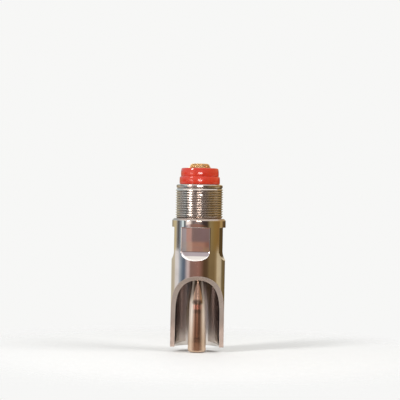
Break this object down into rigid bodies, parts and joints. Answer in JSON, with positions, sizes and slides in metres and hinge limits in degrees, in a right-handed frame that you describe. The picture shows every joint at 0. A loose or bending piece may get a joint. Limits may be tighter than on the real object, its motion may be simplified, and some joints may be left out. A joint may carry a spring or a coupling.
{
  "type": "pig drinker",
  "caption": "Bite drinker for pigs: threaded steel body with flats and a cut-open spout, a sprung valve rod inside it and a red strainer head on the inlet.",
  "frame": {"origin": "centre of the shoulder that the inlet thread starts from, on the body's axis", "axes": "+Z along the axis towards the inlet, -Y out of the open side of the spout"},
  "size_m": [0.0238, 0.0236, 0.0834],
  "materials": {
    "stainless": "polished",
    "stem_steel": "polished",
    "spring_steel": "bright drawn",
    "red_plastic": "glossy",
    "gauze": "woven gauze",
    "seal_rubber": "matte"
  },
  "bodies": {
    "housing": {"barrel": "stainless", "filter_plug": "red_plastic", "filter_cap": "red_plastic", "filter_screen": "gauze"},
    "return_spring": {"spring": "spring_steel"},
    "seal": {"stem_seal": "seal_rubber"},
    "stem": {"valve_stem": "stem_steel"}
  },
  "joints": [
    {"name": "stem_push", "type": "slide", "parent": "housing", "child": "return_spring", "axis": [0, 0, 1], "range_m": [0, 0.002], "stiffness_N_per_m": 900, "springref_m": -0.003, "deforming": ["spring"]},
    {"name": "stem_tilt_fore_aft", "type": "hinge", "parent": "return_spring", "child": "seal", "pos_m": [0, 0, -0.005], "axis": [1, 0, 0], "range_deg": [-4.2, 4.2], "stiffness_Nm_per_rad": 0.12},
    {"name": "stem_tilt_sideways", "type": "hinge", "parent": "seal", "child": "stem", "pos_m": [0, 0, -0.005], "axis": [0, 1, 0], "range_deg": [-4.2, 4.2], "stiffness_Nm_per_rad": 0.12}
  ]
}
